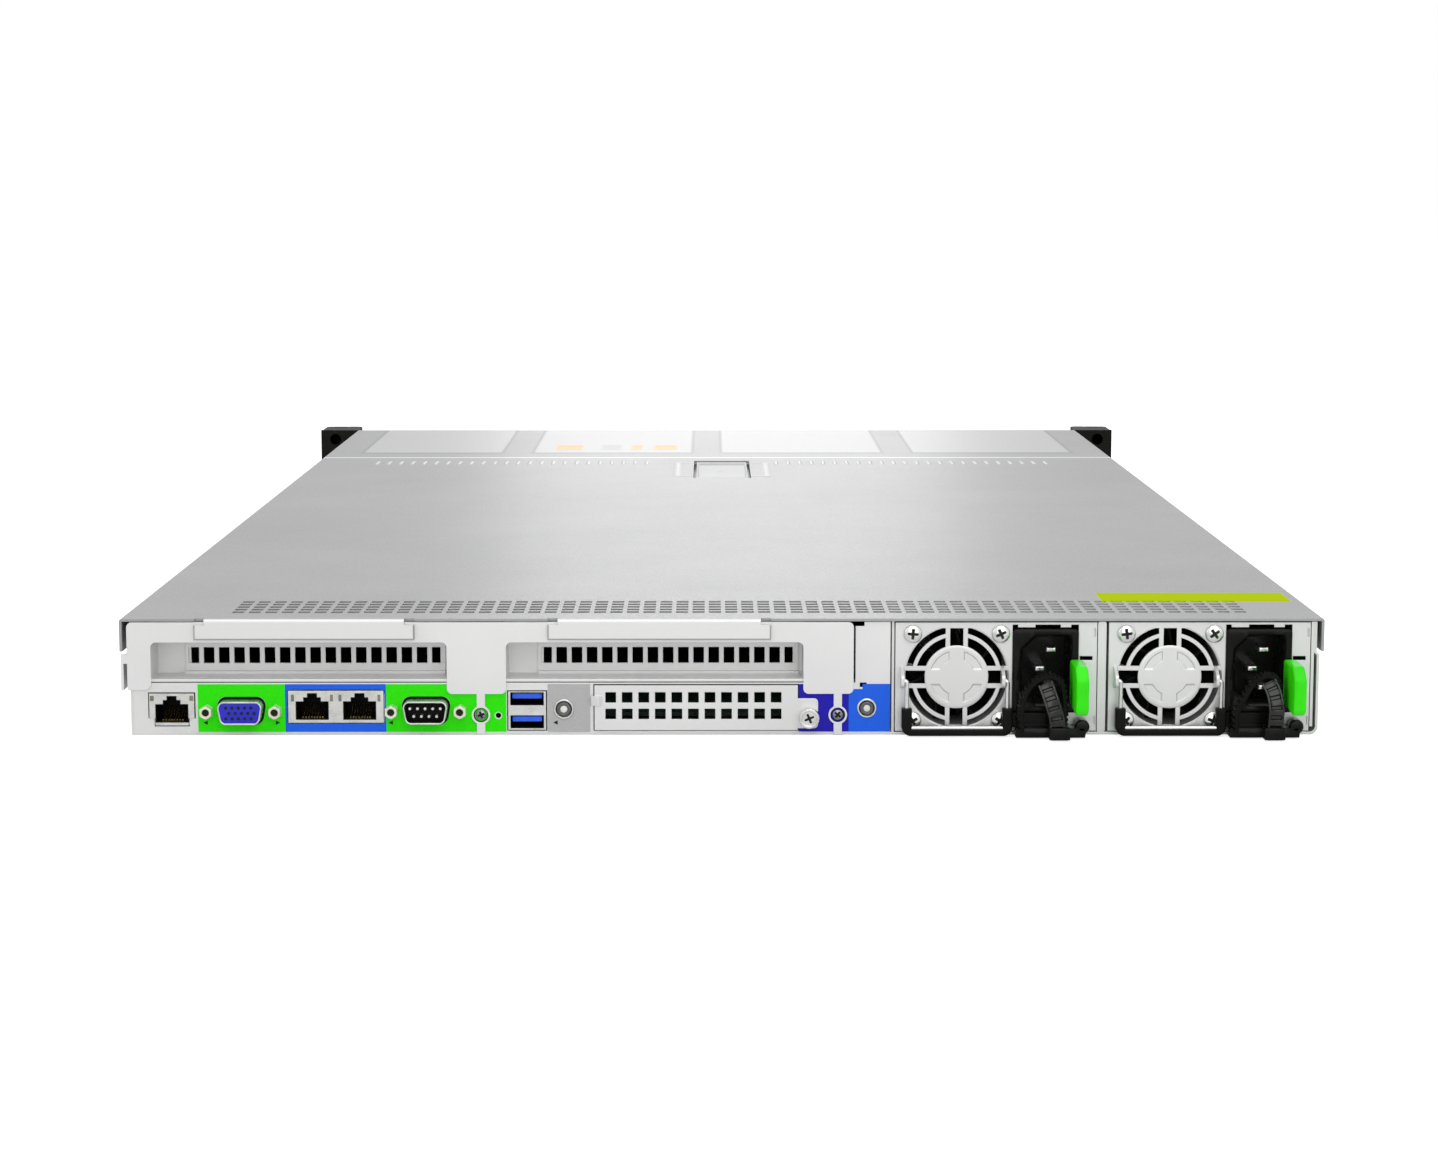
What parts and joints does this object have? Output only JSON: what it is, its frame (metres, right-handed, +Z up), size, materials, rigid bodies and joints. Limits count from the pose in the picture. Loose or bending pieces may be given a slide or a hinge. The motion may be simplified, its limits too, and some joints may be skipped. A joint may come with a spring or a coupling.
{
  "type": "rack server",
  "caption": "Flat rack-mount server with a lift-off cover, hot-swap power supplies and drives, cooling fans and a rear connector panel.",
  "frame": {"origin": "centre of the chassis underside, halfway between the rear panel and the back of the rack ears", "axes": "+X to the right when facing the rear panel, +Y from the rear panel to the front, +Z up"},
  "size_m": [0.4826, 0.8359, 0.043],
  "materials": {
    "cover_steel": "satin zinc-coated sheet",
    "pan_steel": "satin zinc-coated sheet",
    "panel_steel": "satin nickel-coated sheet",
    "bracket_steel": "satin nickel-coated sheet",
    "blank_steel": "satin nickel-coated sheet",
    "supply_steel": "satin nickel-coated sheet",
    "latch_steel": "satin",
    "screw_steel": "bright nickel",
    "connector_metal": "bright tinned shell",
    "wire_steel": "bright wire",
    "black_plastic": "fine moulded texture",
    "green_plastic": "smooth moulded",
    "button_plastic": "smooth",
    "strap_nylon": "ribbed nylon",
    "circuit_board": "solder mask",
    "finned_aluminium": "extruded",
    "drive_aluminium": "cast and anodised"
  },
  "bodies": {
    "chassis": {"base_pan": "pan_steel", "rear_io_panel": "panel_steel", "riser_bracket": "bracket_steel", "pcie_blank_1": "blank_steel", "pcie_blank_2": "blank_steel", "ocp_blank": "blank_steel", "mgmt_port": "connector_metal", "vga_port": "connector_metal", "lan_ports": "connector_metal", "com_port": "connector_metal", "usb_ports": "connector_metal", "jackscrews": "screw_steel", "bracket_screws": "screw_steel", "front_top_cover": "cover_steel", "psu_cage": "pan_steel", "motherboard": "circuit_board", "cpu_heatsinks": "finned_aluminium", "memory_modules": "circuit_board", "riser_cards": "circuit_board", "power_board": "circuit_board", "fan_frames": "black_plastic", "drive_cage": "pan_steel", "drive_backplane": "circuit_board", "left_ear": "black_plastic", "right_ear": "black_plastic"},
    "thumbscrew": {"ocp_thumbscrew": "screw_steel"},
    "id_button": {"uid_button": "button_plastic"},
    "rear_button": {"rear_power_button": "button_plastic"},
    "front_button": {"front_power_button": "button_plastic"},
    "cover": {"top_cover": "cover_steel"},
    "cover_lever": {"cover_latch": "latch_steel"},
    "psu_1": {"psu_1_case": "supply_steel", "psu_1_screws": "screw_steel", "psu_1_inlet": "black_plastic", "psu_1_strap": "strap_nylon"},
    "psu_1_handle": {"psu_1_bail": "wire_steel", "psu_1_grip": "black_plastic"},
    "psu_1_tab": {"psu_1_latch": "green_plastic"},
    "psu_1_fan": {"psu_1_rotor": "black_plastic"},
    "psu_2": {"psu_2_case": "supply_steel", "psu_2_screws": "screw_steel", "psu_2_inlet": "black_plastic", "psu_2_strap": "strap_nylon"},
    "psu_2_handle": {"psu_2_bail": "wire_steel", "psu_2_grip": "black_plastic"},
    "psu_2_tab": {"psu_2_latch": "green_plastic"},
    "psu_2_fan": {"psu_2_rotor": "black_plastic"},
    "fan_1": {"fan_1_rotor": "black_plastic"},
    "fan_2": {"fan_2_rotor": "black_plastic"},
    "fan_3": {"fan_3_rotor": "black_plastic"},
    "fan_4": {"fan_4_rotor": "black_plastic"},
    "fan_5": {"fan_5_rotor": "black_plastic"},
    "drive_1": {"drive_1_tray": "drive_aluminium"},
    "drive_1_handle": {"drive_1_lever": "black_plastic"},
    "drive_2": {"drive_2_tray": "drive_aluminium"},
    "drive_2_handle": {"drive_2_lever": "black_plastic"},
    "drive_3": {"drive_3_tray": "drive_aluminium"},
    "drive_3_handle": {"drive_3_lever": "black_plastic"},
    "drive_4": {"drive_4_tray": "drive_aluminium"},
    "drive_4_handle": {"drive_4_lever": "black_plastic"}
  },
  "joints": [
    {"name": "thumbscrew_turn", "type": "hinge", "parent": "chassis", "child": "thumbscrew", "pos_m": [0.03167, -0.39, 0.0069], "axis": [0, 1, 0], "continuous": true},
    {"name": "id_button_press", "type": "slide", "parent": "chassis", "child": "id_button", "axis": [0, 1, 0], "range_m": [0, 0.0008], "stiffness_N_per_m": 600, "springref_m": -0.0006},
    {"name": "rear_button_press", "type": "slide", "parent": "chassis", "child": "rear_button", "axis": [0, 1, 0], "range_m": [0, 0.0008], "stiffness_N_per_m": 600, "springref_m": -0.0006},
    {"name": "front_button_press", "type": "slide", "parent": "chassis", "child": "front_button", "axis": [0, -1, 0], "range_m": [0, 0.0008], "stiffness_N_per_m": 600, "springref_m": -0.0006},
    {"name": "cover_lift", "type": "slide", "parent": "chassis", "child": "cover", "axis": [0, 0, 1], "range_m": [0, 0.15]},
    {"name": "cover_lever_flip", "type": "hinge", "parent": "cover", "child": "cover_lever", "pos_m": [0.0022, 0.192, 0.0417], "axis": [-1, 0, 0], "range_deg": [0, 80]},
    {"name": "psu_1_pull", "type": "slide", "parent": "chassis", "child": "psu_1", "axis": [0, -1, 0], "range_m": [0, 0.2]},
    {"name": "psu_1_handle_swing", "type": "hinge", "parent": "psu_1", "child": "psu_1_handle", "pos_m": [0.0671, -0.3944, 0.0206], "axis": [-1, 0, 0], "range_deg": [0, 90]},
    {"name": "psu_1_tab_squeeze", "type": "hinge", "parent": "psu_1", "child": "psu_1_tab", "pos_m": [0.1312, -0.391, 0.01955], "axis": [0, 0, -1], "range_deg": [0, 5], "stiffness_Nm_per_rad": 0.6, "springref_deg": -2.86},
    {"name": "psu_1_fan_spin", "type": "hinge", "parent": "psu_1", "child": "psu_1_fan", "pos_m": [0.0854, -0.376, 0.0213], "axis": [0, 1, 0], "continuous": true},
    {"name": "psu_2_pull", "type": "slide", "parent": "chassis", "child": "psu_2", "axis": [0, -1, 0], "range_m": [0, 0.2]},
    {"name": "psu_2_handle_swing", "type": "hinge", "parent": "psu_2", "child": "psu_2_handle", "pos_m": [0.1448, -0.3944, 0.0206], "axis": [-1, 0, 0], "range_deg": [0, 90]},
    {"name": "psu_2_tab_squeeze", "type": "hinge", "parent": "psu_2", "child": "psu_2_tab", "pos_m": [0.2089, -0.391, 0.01955], "axis": [0, 0, -1], "range_deg": [0, 5], "stiffness_Nm_per_rad": 0.6, "springref_deg": -2.86},
    {"name": "psu_2_fan_spin", "type": "hinge", "parent": "psu_2", "child": "psu_2_fan", "pos_m": [0.1631, -0.376, 0.0213], "axis": [0, 1, 0], "continuous": true},
    {"name": "fan_1_spin", "type": "hinge", "parent": "chassis", "child": "fan_1", "pos_m": [-0.168, 0.072, 0.0212], "axis": [0, 1, 0], "continuous": true},
    {"name": "fan_2_spin", "type": "hinge", "parent": "chassis", "child": "fan_2", "pos_m": [-0.084, 0.072, 0.0212], "axis": [0, 1, 0], "continuous": true},
    {"name": "fan_3_spin", "type": "hinge", "parent": "chassis", "child": "fan_3", "pos_m": [0, 0.072, 0.0212], "axis": [0, 1, 0], "continuous": true},
    {"name": "fan_4_spin", "type": "hinge", "parent": "chassis", "child": "fan_4", "pos_m": [0.084, 0.072, 0.0212], "axis": [0, 1, 0], "continuous": true},
    {"name": "fan_5_spin", "type": "hinge", "parent": "chassis", "child": "fan_5", "pos_m": [0.168, 0.072, 0.0212], "axis": [0, 1, 0], "continuous": true},
    {"name": "drive_1_pull", "type": "slide", "parent": "chassis", "child": "drive_1", "axis": [0, 1, 0], "range_m": [0, 0.17]},
    {"name": "drive_1_lever_swing", "type": "hinge", "parent": "drive_1", "child": "drive_1_handle", "pos_m": [-0.2078, 0.3914, 0.0205], "axis": [0, 0, 1], "range_deg": [0, 55]},
    {"name": "drive_2_pull", "type": "slide", "parent": "chassis", "child": "drive_2", "axis": [0, 1, 0], "range_m": [0, 0.17]},
    {"name": "drive_2_lever_swing", "type": "hinge", "parent": "drive_2", "child": "drive_2_handle", "pos_m": [-0.10115, 0.3914, 0.0205], "axis": [0, 0, 1], "range_deg": [0, 55]},
    {"name": "drive_3_pull", "type": "slide", "parent": "chassis", "child": "drive_3", "axis": [0, 1, 0], "range_m": [0, 0.17]},
    {"name": "drive_3_lever_swing", "type": "hinge", "parent": "drive_3", "child": "drive_3_handle", "pos_m": [0.0061, 0.3914, 0.0205], "axis": [0, 0, 1], "range_deg": [0, 55]},
    {"name": "drive_4_pull", "type": "slide", "parent": "chassis", "child": "drive_4", "axis": [0, 1, 0], "range_m": [0, 0.17]},
    {"name": "drive_4_lever_swing", "type": "hinge", "parent": "drive_4", "child": "drive_4_handle", "pos_m": [0.11335, 0.3914, 0.0205], "axis": [0, 0, 1], "range_deg": [0, 55]}
  ]
}
